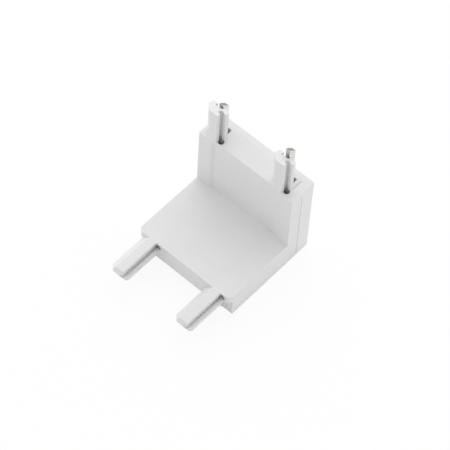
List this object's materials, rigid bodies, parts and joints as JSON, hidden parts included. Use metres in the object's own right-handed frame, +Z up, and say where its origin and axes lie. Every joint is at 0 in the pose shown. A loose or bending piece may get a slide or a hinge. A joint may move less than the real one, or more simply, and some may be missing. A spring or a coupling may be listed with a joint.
{
  "type": "track corner connector",
  "caption": "L-shaped connector for low-voltage lighting track: two legs at a right angle, each ending in grooved prongs with contact blades behind them.",
  "frame": {"origin": "middle of the footprint, on the flat leg's underside", "axes": "+Z up along the upright leg, -Y out along the flat leg's prongs, +X to the right when seen from the prongs"},
  "size_m": [0.033, 0.0458, 0.0442],
  "materials": {
    "housing_plastic": "fine matte moulding",
    "cover_plastic": "fine matte moulding",
    "contact_nickel": "nickel plated",
    "link_copper": "bare copper strip",
    "rivet_steel": "bright",
    "screw_steel": "zinc plated"
  },
  "bodies": {
    "root": {"front_housing": "housing_plastic", "back_cover": "cover_plastic", "base_cover": "cover_plastic", "contact_upper_left": "contact_nickel", "contact_upper_right": "contact_nickel", "contact_lower_left": "contact_nickel", "contact_lower_right": "contact_nickel", "link_left": "link_copper", "link_right": "link_copper", "rivet_upper_left": "rivet_steel", "rivet_upper_right": "rivet_steel", "rivet_lower_left": "rivet_steel", "rivet_lower_right": "rivet_steel", "cover_screw_upper": "screw_steel", "cover_screw_lower": "screw_steel", "base_screw_left": "screw_steel", "base_screw_right": "screw_steel"}
  },
  "joints": []
}
